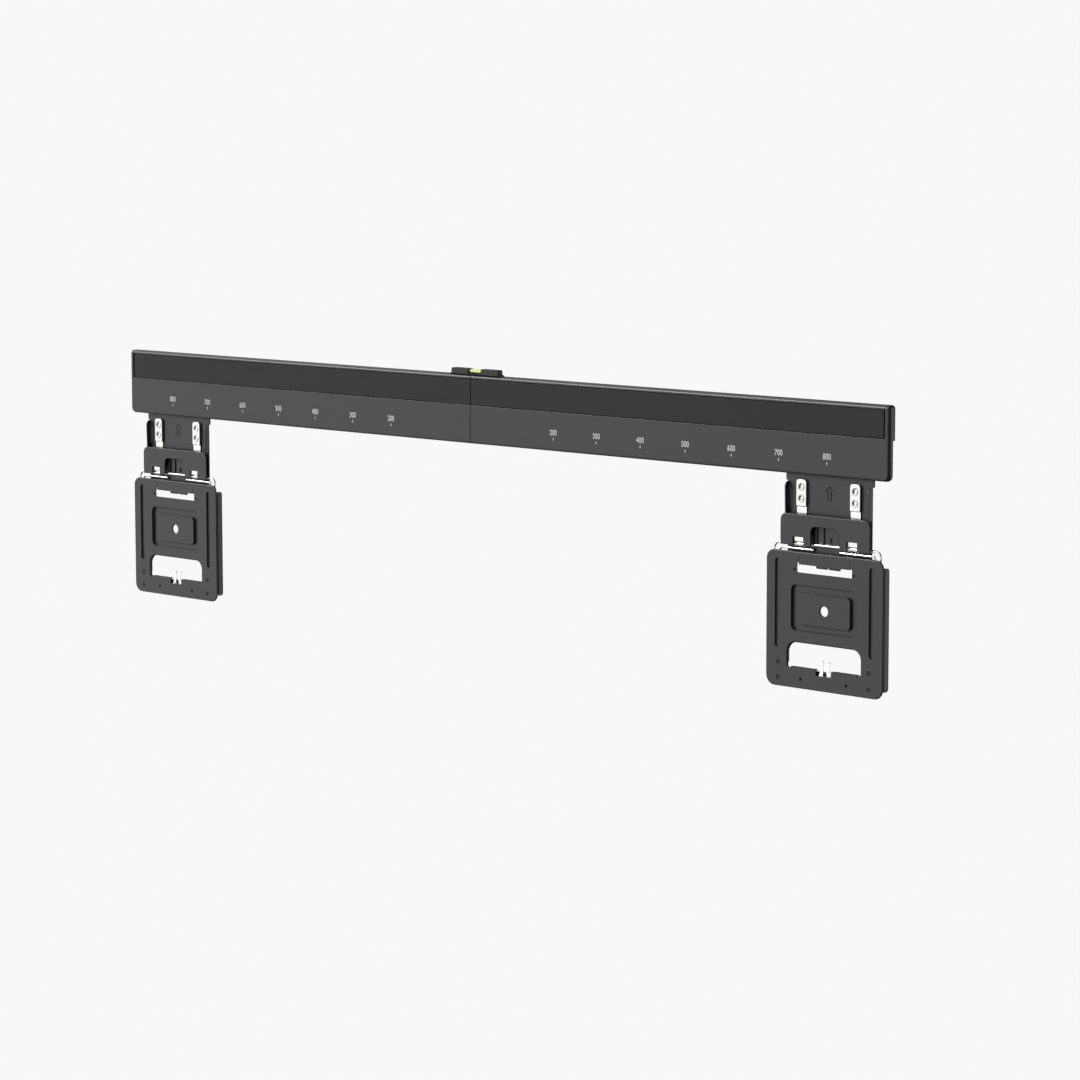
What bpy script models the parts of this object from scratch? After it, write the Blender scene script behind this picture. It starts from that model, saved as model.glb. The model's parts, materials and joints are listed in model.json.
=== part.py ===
"""Slim wall mount for a flat television, with a clip-on spirit level.

A long two-piece rail is screwed to the wall. Two identical brackets hook over
the rail's upturned rear lip and slide along it. Each bracket is a hanger plate
with two hinge straps, which carry a wire bail and the plate that bolts to the
television. A U-shaped kickstand folds out of the back of that plate.

Frame: origin on the wall plane at the rail's centre, +X along the rail, +Y into
the wall, +Z up. Dimensions below are millimetres, y is the distance from the
wall plane, and u is the distance from a bracket's own centre line.
"""
import math

import bmesh
import bpy
from mathutils import Matrix, Vector

MM = 0.001
GAP = 0.3                      # clearance between neighbouring pieces
SHEET = 1.4                    # thickness of the pressed steel sheet

# Rail
RAIL_HALF = 462.5              # half of the rail's length
RAIL_DEPTH = 7.2               # wall plane to the rail's front face
RAIL_TOP = 14.0
RAIL_BOTTOM = -45.0
SHELF_TOP = -12.0              # floor of the upper, screw-carrying channel
LIP_BOTTOM = 10.7              # lower edge of the lip along the top
BAND_END = 457.9               # where the upper channel's front opening ends
STRIP_END = 456.7
STRIP_FRONT = -6.9
STRIP_BACK = -5.9
STRIP_LEG_BACK = -3.5
STRIP_Z = (-11.6, 10.3)
LOWER_BACK = -2.3              # rear of the lower half, which stands off the wall
HOOK_LIP_FRONT = -3.7
HOOK_LIP_TOP = -27.2
BOTTOM_CORNER_RADIUS = 5.0
TOP_CORNER_RADIUS = 3.0
SCREW_SLOT = (44.0, 6.0)       # length and width of the wall-screw slots
SCREW_SLOT_PITCH = 85.0
SCREW_SLOTS_PER_HALF = 5

# Joiner between the two rail halves
JOINER_HALF = (55.0, 10.0)     # half length and half height of its flange
JOINER_BOSS_HALF = (39.7, 8.7)
JOINER_CUT_HALF = (40.0, 9.0)
JOINER_FRONT = -3.1
JOINER_SCREW_X = 48.0
JOINER_SCREW_Z = 5.0
SCREW_RADIUS = 2.0
SCREW_HEAD_RADIUS = 3.6

# Brackets
BRACKET_X = 398.5              # each bracket's centre, about an 800 mm hole spacing
HANGER_HALF = 43.0
HANGER_HEAD = (45.0, -51.0)    # half width and bottom of its wider head
HANGER_FRONT = -1.8
HANGER_BACK = -0.4
HANGER_BOTTOM = -107.5
FLANGE = (-77.0, -51.4)        # bottom and top of the side flanges
FLANGE_BEND = 4.3              # radius of a flange's upper corner
FLANGE_FRONT = -5.6
HOOK_TOP = -25.5
HOOK_TIP_BOTTOM = -36.0
HOOK_TIP = (-5.3, -4.1)        # front and back of the hook's downturned edge
STRAP_U = 27.5                 # centre line of each hinge strap
STRAP_WIDTH = 10.0
STRAP_THICK = 0.6
CLAMP = (-70.8, -49.3)         # bottom and top of the clamp plates
RIVET_Z = (-55.3, -64.4)
BRIDGE_HALF = 46.0
BRIDGE = (-101.3, -76.3)       # bottom and top of the bridge plate
BRIDGE_Y = (-7.5, -6.4)
BRIDGE_RETURN = (38.0, 39.1)   # bent-back sides that carry the bridge plate
BRIDGE_RETURN_Z = (-98.0, -77.5)
TONGUE_RIVET = (1.7, -95.5)
ARCH_HALF = 14.5
ARCH_TOP = -85.1
NOTCH_TOP = -94.4

# Tilt axis: the top bar of the wire bail
TILT_Y = -4.2
TILT_Z = -99.8
WIRE_RADIUS = 1.0
KNUCKLE_INNER = WIRE_RADIUS + GAP
KNUCKLE_OUTER = KNUCKLE_INNER + STRAP_THICK
BAIL_HALF = 54.5
BAIL_INNER = 48.5
BAIL_FOOT = -129.0
BAIL_END = 13.5                # where the wire's two returned ends stop
BAIL_END_Z = -103.9

# Television plate
PLATE_HALF = 60.0
PLATE = (-214.5, -106.0)       # bottom and top
PLATE_Y = (-7.8, -6.4)
BOLT_Z = -151.0
BOLT_RADIUS = 4.1
WINDOW = (-197.6, -178.2)
WINDOW_HALF = 37.3
PANEL = (-169.0, -132.0)       # recessed moat around the bolt hole
PANEL_HALF = 34.0
ISLAND = (-163.3, -138.6)
ISLAND_HALF = 26.5
PANEL_RADIUS = 5.0
ISLAND_RADIUS = 3.0
MOAT_DEPTH = 2.3
MOAT_BACK = 1.6                # how far the moat's bottom stands out at the back
PRESSED_WALL = 1.0             # thickness of the sheet where it is pressed round a corner
SLOT = (-122.4, -115.9)
SLOT_HALF = 28.5
BEAD_U = 48.3
BEAD_WIDTH = 5.0
BEAD = (-183.5, -112.5)
BEAD_RADIUS = 2.4
BEAD_DEPTH = 1.5
BEAD_BACK = 0.8
STUD_U = 46.6
STUD_Z = (-195.0, -207.5)
STUD_RADIUS = 1.2
STUD_SUNK = 0.5                # how far a stud's end lies below the plate's face
PEEP_U = 23.5                  # small drain holes along the bottom edge
PEEP_Z = -207.0
PEEP_RADIUS = 1.4
WINDOW_RADIUS = 8.0            # of the upper corners
CLIP_NOTCH = (8.0, 4.9)        # half width and depth of the notch for the spring clip
STIFFENER = 1.2                # thickness of the flaps bent back from the slot and window
EAR = (38.8, 40.0)             # inner and outer face of the ears that hold the pins
EAR_Z = (-118.0, -111.8)

# Kickstand and its pins
KICK_Y = (-1.6, -0.4)
KICK = (-206.5, -114.0)        # bottom and top of its flat back
KICK_SIDE = (-208.5, -112.0)   # bottom and top of its side flanges
KICK_SIDE_FRONT = -5.6
KICK_SIDE_RADIUS = 2.5         # of the flanges' rear corners
KICK_HALF = 60.0
KICK_LEG_INNER = 44.0
KICK_HEAD_INNER = 40.4
KICK_HEAD_BOTTOM = -135.0
KICK_BAR_TOP = -200.0
KICK_SHEET = 1.2
KICK_EAR = (-117.5, -4.9)      # bottom and front of its pin ears
KICK_CATCH = (4.0, -205.0, -201.0)
PIN_Y = -3.6
PIN_Z = -114.0
PIN_RADIUS = 1.2

# Spirit level
LEVEL_X = 5.0                  # where it happens to sit along the rail
LEVEL_HALF = 28.3
LEVEL_FOOT_HALF = 31.8
LEVEL_Z = (RAIL_TOP + GAP, 19.3)
LEVEL_FOOT_TOP = 15.9
LEVEL_Y = (-7.0, -0.9)
VIAL_RADIUS = 2.0
VIAL_HALF = 10.0
VIAL_WINDOW_HALF = 7.8
VIAL_Z = 16.9
VIAL_Y = -3.6
MAGNET_X = 22.0
MAGNET_RADIUS = 2.2

STEEL_BLACK = ((0.075, 0.075, 0.077), 0.5, 0.0)
BAND_BLACK = ((0.042, 0.042, 0.044), 0.6, 0.0)
PLASTIC_BLACK = ((0.03, 0.03, 0.032), 0.45, 0.0)
NICKEL = ((0.75, 0.74, 0.72), 0.25, 1.0)
VIAL_GREEN = ((0.55, 0.8, 0.15), 0.1, 0.0)


# ---------------------------------------------------------------- materials
def material(name, look):
    """Principled material from a (colour, roughness, metallic) look."""
    colour, roughness, metallic = look
    made = bpy.data.materials.new(name)
    made.use_nodes = True
    shader = made.node_tree.nodes["Principled BSDF"]
    shader.inputs["Base Color"].default_value = (*colour, 1.0)
    shader.inputs["Roughness"].default_value = roughness
    shader.inputs["Metallic"].default_value = metallic
    made.diffuse_color = (*colour, 1.0)
    return made


# ------------------------------------------------------------------- shapes
def tool(rings):
    """Closed solid through rings of points with equal counts, ends capped."""
    bm = bmesh.new()
    loops = [[bm.verts.new([c * MM for c in point]) for point in ring] for ring in rings]
    count = len(loops[0])
    for first, second in zip(loops, loops[1:]):
        for i in range(count):
            j = (i + 1) % count
            bm.faces.new((first[i], first[j], second[j], second[i]))
    bm.faces.new(loops[0])
    bm.faces.new(loops[-1])
    bmesh.ops.recalc_face_normals(bm, faces=bm.faces)
    mesh = bpy.data.meshes.new("shape")
    bm.to_mesh(mesh)
    bm.free()
    shape = bpy.data.objects.new("shape", mesh)
    bpy.context.scene.collection.objects.link(shape)
    return shape


def slab(outline, y0, y1):
    """Plate: an outline in x and z, from y0 to y1."""
    return tool([[(x, y, z) for x, z in outline] for y in (y0, y1)])


def bar(profile, x0, x1):
    """Long section: a profile in y and z, from x0 to x1."""
    return tool([[(x, y, z) for y, z in profile] for x in (x0, x1)])


def box(x0, x1, y0, y1, z0, z1):
    return slab([(x0, z0), (x1, z0), (x1, z1), (x0, z1)], y0, y1)


def rod(along, centre, radius, start, end, sides=16):
    """Cylinder along axis 0, 1 or 2; centre gives the other two coordinates."""
    def ring(level):
        points = []
        for i in range(sides):
            turn = 2 * math.pi * i / sides
            pair = [centre[0] + radius * math.cos(turn), centre[1] + radius * math.sin(turn)]
            pair.insert(along, level)
            points.append(tuple(pair))
        return points
    return tool([ring(start), ring(end)])


def rounded(x0, x1, z0, z1, bottom=0.0, top=0.0, steps=4):
    """Rectangle outline whose bottom and top corners have their own radii."""
    outline = []
    corners = ((x1, z0, -1, 1, bottom, -90), (x1, z1, -1, -1, top, 0),
               (x0, z1, 1, -1, top, 90), (x0, z0, 1, 1, bottom, 180))
    for x, z, inward_x, inward_z, radius, start in corners:
        if radius <= 0:
            outline.append((x, z))
            continue
        for i in range(steps + 1):
            turn = math.radians(start + 90 * i / steps)
            outline.append((x + inward_x * radius + radius * math.cos(turn),
                            z + inward_z * radius + radius * math.sin(turn)))
    return outline


def ribbon(path, thick):
    """Closed outline of a strip of even thickness along an open path."""
    path = [Vector(point) for point in path]
    sides = ([], [])
    for i, point in enumerate(path):
        before = (point - path[i - 1]).normalized() if i else None
        after = (path[i + 1] - point).normalized() if i + 1 < len(path) else None
        along = ((before or after) + (after or before)).normalized()
        normal = Vector((-along.y, along.x))
        stretch = 1.0 / max(0.5, normal.dot(Vector((-(after or before).y, (after or before).x))))
        for side, sign in zip(sides, (1, -1)):
            side.append(tuple(point + normal * sign * stretch * thick / 2))
    return sides[0] + sides[1][::-1]


def filleted(path, radii, steps=4):
    """Open path whose inner corners are rounded, each to its own radius."""
    points = [Vector(path[0])]
    for before, corner, after, radius in zip(path, path[1:], path[2:], radii):
        before, corner, after = Vector(before), Vector(corner), Vector(after)
        start = corner + (before - corner).normalized() * radius
        end = corner + (after - corner).normalized() * radius
        for i in range(steps + 1):
            t = i / steps
            points.append(start * (1 - t) ** 2 + corner * 2 * t * (1 - t) + end * t * t)
    points.append(Vector(path[-1]))
    return points


def wire(path, y, radius, sides=8):
    """Round wire along a path in x and z at one depth y."""
    rings = []
    for i, point in enumerate(path):
        along = (path[min(i + 1, len(path) - 1)] - path[max(i - 1, 0)]).normalized()
        across = Vector((-along.y, along.x))
        ring = []
        for k in range(sides):
            turn = 2 * math.pi * k / sides
            flat = point + across * radius * math.cos(turn)
            ring.append((flat.x, y + radius * math.sin(turn), flat.y))
        rings.append(ring)
    return tool(rings)


def combine(base, add=(), cut=()):
    """Join shapes to the base, then cut others from it."""
    jobs = [(shape, "UNION") for shape in add] + [(shape, "DIFFERENCE") for shape in cut]
    for shape, operation in jobs:
        boolean = base.modifiers.new("boolean", "BOOLEAN")
        boolean.operation = operation
        boolean.solver = "EXACT"
        boolean.object = shape
    graph = bpy.context.evaluated_depsgraph_get()
    mesh = bpy.data.meshes.new_from_object(base.evaluated_get(graph))
    base.modifiers.clear()
    base.data = mesh
    for shape, _ in jobs:
        bpy.data.objects.remove(shape)
    return base


def piece(name, shape, look, pivot, smooth=False):
    """Name a finished shape and hang it on its body's pivot."""
    shape.name = name
    shape.data.name = name
    shape.data.transform(pivot.matrix_world.inverted())
    if smooth:
        shape.data.shade_smooth()
        shape.data.set_sharp_from_angle(angle=math.radians(35))
    shape.parent = pivot
    shape.data.materials.clear()
    shape.data.materials.append(look)
    return shape


def pivot_empty(name, place, parent=None):
    """Empty on a joint's axis, place in millimetres."""
    empty = bpy.data.objects.new(name, None)
    empty.empty_display_size = 0.01
    bpy.context.scene.collection.objects.link(empty)
    empty.location = [c * MM for c in place]
    if parent:
        empty.parent = parent
        empty.matrix_parent_inverse = parent.matrix_world.inverted()
    bpy.context.view_layer.update()
    return empty


# --------------------------------------------------------------------- rail
def mirrored(side, low, high):
    """Span along x, reflected for the left half."""
    return (low, high) if side > 0 else (-high, -low)


def corner_cutter(side, z, radius, inward):
    """Waste outside a rounded outer corner of the rail; inward points to its middle."""
    outline = [(RAIL_HALF + 1, z - inward), (RAIL_HALF + 1, z + inward * radius)]
    for i in range(6):
        turn = math.radians(90 * i / 5)
        outline.append((RAIL_HALF - radius * (1 - math.cos(turn)),
                        z + inward * radius * (1 - math.sin(turn))))
    outline.append((RAIL_HALF - radius, z - inward))
    return slab([(side * x, height) for x, height in outline], -RAIL_DEPTH - 1, 1.0)


def rail_half(side):
    """One bent-steel half: channel on the wall above, hook channel below."""
    front = -RAIL_DEPTH
    past_seam = -5.0
    inside = (past_seam, RAIL_HALF - SHEET)
    profile = [(front, RAIL_BOTTOM), (LOWER_BACK, RAIL_BOTTOM), (LOWER_BACK, SHELF_TOP - SHEET),
               (0, SHELF_TOP - SHEET), (0, RAIL_TOP), (front, RAIL_TOP)]
    rail = bar(profile, *mirrored(side, GAP / 2, RAIL_HALF))
    deep = SHEET + 0.2
    cuts = [
        box(*mirrored(side, inside[0], BAND_END), front - 1, -SHEET, SHELF_TOP, LIP_BOTTOM),
        box(*mirrored(side, *inside), front + SHEET, -SHEET, SHELF_TOP, RAIL_TOP - SHEET),
        box(*mirrored(side, *inside), front + SHEET, HOOK_LIP_FRONT,
            RAIL_BOTTOM + SHEET, SHELF_TOP - SHEET),
        box(*mirrored(side, *inside), HOOK_LIP_FRONT - 0.3, -1.0, HOOK_LIP_TOP, SHELF_TOP - SHEET),
        box(*mirrored(side, past_seam, JOINER_CUT_HALF[0]), -deep, 1.0,
            -JOINER_CUT_HALF[1], JOINER_CUT_HALF[1]),
    ]
    for i in range(SCREW_SLOTS_PER_HALF):
        middle = side * SCREW_SLOT_PITCH * (i + 1)
        length, width = SCREW_SLOT
        outline = rounded(middle - length / 2, middle + length / 2, -width / 2, width / 2,
                          width / 2 - 0.001, width / 2 - 0.001)
        cuts.append(slab(outline, -deep, 1.0))
    for z in (-JOINER_SCREW_Z, JOINER_SCREW_Z):
        cuts.append(rod(1, (side * JOINER_SCREW_X, z), SCREW_RADIUS + GAP, -deep, 1.0))
    cuts.append(corner_cutter(side, RAIL_BOTTOM, BOTTOM_CORNER_RADIUS, 1))
    cuts.append(corner_cutter(side, RAIL_TOP, TOP_CORNER_RADIUS, -1))
    return combine(rail, cut=cuts)


def cover_strip(side):
    """Snap-in cover over the wall screws, a shallow C section."""
    low, high = STRIP_Z
    profile = [(STRIP_FRONT, low), (STRIP_LEG_BACK, low), (STRIP_LEG_BACK, low + 1),
               (STRIP_BACK, low + 1), (STRIP_BACK, high - 1), (STRIP_LEG_BACK, high - 1),
               (STRIP_LEG_BACK, high), (STRIP_FRONT, high)]
    return bar(profile, *mirrored(side, GAP, STRIP_END))


def rail_joiner():
    """Stepped plate across the seam, flush with the wall at its centre."""
    flange_x, flange_z = JOINER_HALF
    boss_x, boss_z = JOINER_BOSS_HALF
    plate = box(-flange_x, flange_x, JOINER_FRONT, -SHEET - GAP, -flange_z, flange_z)
    boss = box(-boss_x, boss_x, JOINER_FRONT + 0.5, 0, -boss_z, boss_z)
    holes = [rod(1, (x, z), SCREW_RADIUS + GAP, JOINER_FRONT - 1, 0.5)
             for x in (-JOINER_SCREW_X, JOINER_SCREW_X)
             for z in (-JOINER_SCREW_Z, JOINER_SCREW_Z)]
    return combine(plate, add=[boss], cut=holes)


def joiner_screw(x, z):
    head = rod(1, (x, z), SCREW_HEAD_RADIUS, JOINER_FRONT - 0.9, JOINER_FRONT - GAP)
    return combine(head, add=[rod(1, (x, z), SCREW_RADIUS, JOINER_FRONT - 0.5, -GAP)])


# -------------------------------------------------------------------- level
def level_housing():
    low, high = LEVEL_Z
    body = slab(rounded(LEVEL_X - LEVEL_HALF, LEVEL_X + LEVEL_HALF, low, high, 0, 1.2), *LEVEL_Y)
    foot = [(-LEVEL_FOOT_HALF, low), (LEVEL_FOOT_HALF, low), (LEVEL_HALF - 0.5, LEVEL_FOOT_TOP),
            (0.5 - LEVEL_HALF, LEVEL_FOOT_TOP)]
    feet = slab([(LEVEL_X + x, z) for x, z in foot], LEVEL_Y[0] + 0.8, LEVEL_Y[1] - 0.3)
    window = box(LEVEL_X - VIAL_WINDOW_HALF, LEVEL_X + VIAL_WINDOW_HALF,
                 LEVEL_Y[0] - 1, LEVEL_Y[1] + 1, low + 0.6, high + 1)
    sockets = rod(0, (VIAL_Y, VIAL_Z), VIAL_RADIUS + GAP,
                  LEVEL_X - VIAL_HALF - GAP, LEVEL_X + VIAL_HALF + GAP)
    pockets = [rod(2, (LEVEL_X + x, VIAL_Y), MAGNET_RADIUS + GAP, low - 1, low + 1.6)
               for x in (-MAGNET_X, MAGNET_X)]
    return combine(body, add=[feet], cut=[window, sockets, *pockets])


def level_vial():
    return rod(0, (VIAL_Y, VIAL_Z), VIAL_RADIUS, LEVEL_X - VIAL_HALF, LEVEL_X + VIAL_HALF)


def level_magnet(x):
    return rod(2, (LEVEL_X + x, VIAL_Y), MAGNET_RADIUS, LEVEL_Z[0], LEVEL_Z[0] + 1.3)


# ------------------------------------------------- bracket, with x as its own u
def hanger_plate():
    """Channel-shaped plate whose top folds forward over the rail's lip."""
    floor = slab(rounded(-HANGER_HALF, HANGER_HALF, HANGER_BOTTOM, HOOK_TOP),
                 HANGER_FRONT, HANGER_BACK)
    head_half, head_bottom = HANGER_HEAD
    joined = [
        slab(rounded(-head_half, head_half, head_bottom, HOOK_TOP - 0.3, 1.2, 0),
             HANGER_FRONT, HANGER_BACK),
        box(-HANGER_HALF, HANGER_HALF, HOOK_TIP[0], HANGER_BACK - 0.2,
            HOOK_TOP - SHEET, HOOK_TOP),
        box(-HANGER_HALF, HANGER_HALF, *HOOK_TIP, HOOK_TIP_BOTTOM, HOOK_TOP - 0.2),
    ]
    low, high = FLANGE
    side = [(FLANGE_FRONT, low), (HANGER_BACK - 0.2, low), (HANGER_BACK - 0.2, high)]
    for i in range(5):
        turn = math.radians(90 * i / 4)
        side.append((HANGER_FRONT - FLANGE_BEND * math.sin(turn),
                     high - FLANGE_BEND * (1 - math.cos(turn))))
    for edge in (-HANGER_HALF, HANGER_HALF - SHEET):
        joined.append(bar(side, edge, edge + SHEET))
    return combine(floor, add=joined)


def bridge_plate():
    """Cover across the channel, with an arch and a notch for each knuckle."""
    low, high = BRIDGE
    plate = slab(rounded(-BRIDGE_HALF, BRIDGE_HALF, low, high, 1.0, 5.5), *BRIDGE_Y)
    y0, y1 = BRIDGE_Y[0] - 1, BRIDGE_Y[1] + 1
    cuts = [slab(rounded(-ARCH_HALF, ARCH_HALF, low - 2, ARCH_TOP, 0, 5), y0, y1)]
    for u in (-STRAP_U, STRAP_U):
        half = STRAP_WIDTH / 2 + GAP
        cuts.append(box(u - half, u + half, y0, y1, low - 2, NOTCH_TOP))
    returns = [box(*sorted((side * BRIDGE_RETURN[0], side * BRIDGE_RETURN[1])),
                   BRIDGE_Y[0] + 0.5, HANGER_FRONT - GAP, *BRIDGE_RETURN_Z) for side in (-1, 1)]
    return combine(plate, add=returns, cut=cuts)


def clamp_plate(x):
    """Short plate that two rivets press onto a hinge strap."""
    low, high = CLAMP
    half = STRAP_WIDTH / 2
    plate = slab(rounded(x - half, x + half, low, high, 0, 2.5), -3.9, -3.1)
    return combine(plate, cut=[rod(1, (x, z), 3.3, -5, -2) for z in RIVET_Z])


def hinge_strap(x):
    """Strip that steps forward, turns back over the wire and rolls right round it."""
    back_y, front_y = -2.5, TILT_Y - KNUCKLE_INNER - STRAP_THICK / 2
    roll = KNUCKLE_INNER + STRAP_THICK / 2
    corners = [(back_y, -51.0), (back_y, -78.5), (front_y, -88.5), (front_y, TILT_Z + roll),
               (TILT_Y, TILT_Z + roll)]
    path = filleted(corners, (2.5, 2.5, 0.9), 3)
    path.pop()
    for i in range(15):
        turn = math.radians(90 - 275 * i / 14)
        path.append((TILT_Y + roll * math.cos(turn), TILT_Z + roll * math.sin(turn)))
    half = STRAP_WIDTH / 2
    strap = bar(ribbon(path, STRAP_THICK), x - half, x + half)
    return combine(strap, cut=[rod(1, (x, z), 2.3, -4, -1) for z in RIVET_Z])


def strap_rivet(x, z):
    head = rod(1, (x, z), 3.0, -4.1, -3.1)
    return combine(head, add=[rod(1, (x, z), 2.0, -3.3, -2.1)])


def stop_tongue():
    """Ribbed tongue that keeps the television plate off the wall."""
    plate = slab(rounded(-12.5, 12.5, -118.6, -83.0, 1, 0), -2.9, -2.1)
    notch = box(-0.9, 0.9, -4, -1, -119.5, -117.7)
    ribs = [box(left, right, -4.0, -2.7, -98.3, -84.0)
            for left, right in ((-12.5, -10.9), (-6.7, -3.9), (9.6, 11.4))]
    return combine(plate, add=ribs, cut=[notch, rod(1, TONGUE_RIVET, 1.3, -4, -1)])


def tongue_rivet():
    head = rod(1, TONGUE_RIVET, 1.9, -4.0, -3.2)
    return combine(head, add=[rod(1, TONGUE_RIVET, 1.0, -3.4, -2.1)])


def wire_bail():
    """Bent wire: the top bar is the tilt axis, the ends return along the plate's top."""
    half = [(BAIL_HALF, TILT_Z), (BAIL_HALF, BAIL_FOOT), (BAIL_INNER, BAIL_FOOT),
            (BAIL_INNER, BAIL_END_Z), (BAIL_END, BAIL_END_Z)]
    radii = [5.5, 2.9, 2.9, 2.0]
    path = [(-u, z) for u, z in half[::-1]] + half
    return wire(filleted(path, radii[::-1] + radii), TILT_Y, WIRE_RADIUS)


def bail_saddle(x):
    """Saddle that holds one of the wire's legs to the back of the plate."""
    block = box(x - 2.8, x + 2.8, PLATE_Y[1] + GAP, KICK_Y[0] - GAP, -127.0, -121.0)
    groove = box(x - 1.3, x + 1.3, -7.0, TILT_Y + WIRE_RADIUS + GAP, -128.0, -120.0)
    return combine(block, cut=[groove])


def bead_outline(side, wall):
    """Outline of a stiffening bead, grown by the wall's thickness for its back."""
    half, radius = BEAD_WIDTH / 2 + wall, BEAD_RADIUS + wall
    middle = side * BEAD_U
    return rounded(middle - half, middle + half, BEAD[0] - wall, BEAD[1] + wall, radius, radius)


def tv_plate():
    """Pressed plate that one bolt fastens to the television."""
    front, back = PLATE_Y
    y0, y1 = front - 1, back + 1
    overlap = back - 0.2
    wall = PRESSED_WALL
    plate = slab(rounded(-PLATE_HALF, PLATE_HALF, *PLATE, 8.5, 7.5), front, back)
    outer = rounded(-PANEL_HALF - wall, PANEL_HALF + wall, PANEL[0] - wall, PANEL[1] + wall,
                    PANEL_RADIUS + wall, PANEL_RADIUS + wall)
    inner = rounded(wall - ISLAND_HALF, ISLAND_HALF - wall, ISLAND[0] + wall, ISLAND[1] - wall,
                    ISLAND_RADIUS - wall, ISLAND_RADIUS - wall)
    joined = [
        combine(slab(outer, overlap, back + MOAT_BACK), cut=[slab(inner, back, back + 3)]),
        box(-25, 25, overlap, -3.6, SLOT[1] + 0.05, SLOT[1] + 0.05 + STIFFENER),
    ]
    moat = slab(rounded(-PANEL_HALF, PANEL_HALF, *PANEL, PANEL_RADIUS, PANEL_RADIUS),
                y0, front + MOAT_DEPTH)
    island = slab(rounded(-ISLAND_HALF, ISLAND_HALF, *ISLAND, ISLAND_RADIUS, ISLAND_RADIUS),
                  y0 - 1, back + 1)
    notch_half, notch_deep = CLIP_NOTCH
    cuts = [
        combine(moat, cut=[island]),
        slab(rounded(-WINDOW_HALF, WINDOW_HALF, *WINDOW, 1, WINDOW_RADIUS), y0, y1),
        box(-notch_half, notch_half, y0, y1, WINDOW[0] - notch_deep, WINDOW[0] + 1),
        slab(rounded(-SLOT_HALF, SLOT_HALF, *SLOT, 1, 1), y0, y1),
        rod(1, (0, BOLT_Z), BOLT_RADIUS, y0, y1, 20),
    ]
    for side in (-1, 1):
        joined += [
            box(*sorted((side * 9, side * 34)), overlap, -4.0,
                WINDOW[0] - 0.05 - STIFFENER, WINDOW[0] - 0.05),
            box(*sorted((side * EAR[0], side * EAR[1])), overlap, -2.2, *EAR_Z),
            slab(bead_outline(side, PRESSED_WALL / 2), overlap, back + BEAD_BACK),
        ]
        cuts += [
            slab(bead_outline(side, 0.0), y0, front + BEAD_DEPTH),
            rod(0, (PIN_Y, PIN_Z), PIN_RADIUS + GAP,
                *sorted((side * (EAR[0] - 1), side * (EAR[1] + 1))), 12),
            rod(1, (side * PEEP_U, PEEP_Z), PEEP_RADIUS, y0, y1, 10),
        ]
        cuts += [rod(1, (side * STUD_U, z), STUD_RADIUS + GAP, y0, y1, 10) for z in STUD_Z]
    return combine(plate, add=joined, cut=cuts)


def spacer(side):
    """Block between the plate and the folded kickstand, with two staked studs."""
    middle = side * 47.2
    block = slab(rounded(middle - 3.7, middle + 3.7, -211.0, -191.0, 1.5, 1.5, 2),
                 PLATE_Y[1] + GAP, KICK_Y[0] - GAP)
    studs = [rod(1, (side * STUD_U, z), STUD_RADIUS, PLATE_Y[0] + STUD_SUNK, PLATE_Y[1] + 1, 10)
             for z in STUD_Z]
    return combine(block, add=studs)


def spring_clip():
    """Two-pronged spring that snaps over the kickstand's catch."""
    y0, y1 = -6.0, -3.9
    base = box(-6.9, 6.9, y0, y1, -211.0, -201.6)
    prongs = []
    for side in (-1, 1):
        outline = [(side * 1.3, -203.0), (side * 6.9, -203.0), (side * 6.9, -201.4),
                   (side * 5.3, -198.5), (side * 5.3, -191.6), (side * 4.8, -191.0),
                   (side * 1.8, -191.0), (side * 1.3, -191.6)]
        prongs.append(slab(outline, y0, y1))
    return combine(base, add=prongs)


def kickstand_flange():
    """Profile of a side flange in y and z, its rear corners rounded."""
    low, high = KICK_SIDE
    back, radius = KICK_Y[1], KICK_SIDE_RADIUS
    profile = [(KICK_SIDE_FRONT, high), (KICK_SIDE_FRONT, low)]
    corners = []
    for i in range(5):
        turn = math.radians(90 * i / 4)
        corners.append((back - radius * (1 - math.cos(turn)), radius * (1 - math.sin(turn))))
    profile += [(y, low + rise) for y, rise in corners[::-1]]
    profile += [(y, high - rise) for y, rise in corners]
    return profile


def kickstand():
    """U-shaped stand: flanged legs with pin ears at the top, a bar across the foot."""
    y0, y1 = KICK_Y[0] - 1, KICK_Y[1] + 1
    overlap = KICK_Y[1] - 0.2
    outer = slab(rounded(-KICK_HALF, KICK_HALF, *KICK, 1.5, 1.5), *KICK_Y)
    cuts = [
        slab(rounded(-KICK_LEG_INNER, KICK_LEG_INNER, KICK_BAR_TOP, KICK_HEAD_BOTTOM, 3, 0),
             y0, y1),
        box(-KICK_HEAD_INNER, KICK_HEAD_INNER, y0, y1, KICK_HEAD_BOTTOM - 1, KICK[1] + 2),
    ]
    catch_half, catch_low, catch_high = KICK_CATCH
    joined = [box(-catch_half, catch_half, -3.6, overlap, catch_low, catch_high)]
    ear_low, ear_front = KICK_EAR
    for side in (-1, 1):
        edge, inner = side * KICK_HALF, side * KICK_HEAD_INNER
        joined += [
            bar(kickstand_flange(), *sorted((edge - side * KICK_SHEET, edge))),
            box(*sorted((inner, inner + side * KICK_SHEET)), ear_front, overlap,
                ear_low, KICK_SIDE[1]),
        ]
        cuts.append(rod(0, (PIN_Y, PIN_Z), PIN_RADIUS + GAP,
                        *sorted((inner - side, inner + side * 2)), 12))
    return combine(outer, add=joined, cut=cuts)


def kickstand_pin(side):
    span = sorted((side * 38.0, side * 42.4))
    return rod(0, (PIN_Y, PIN_Z), PIN_RADIUS, *span, 12)


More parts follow.
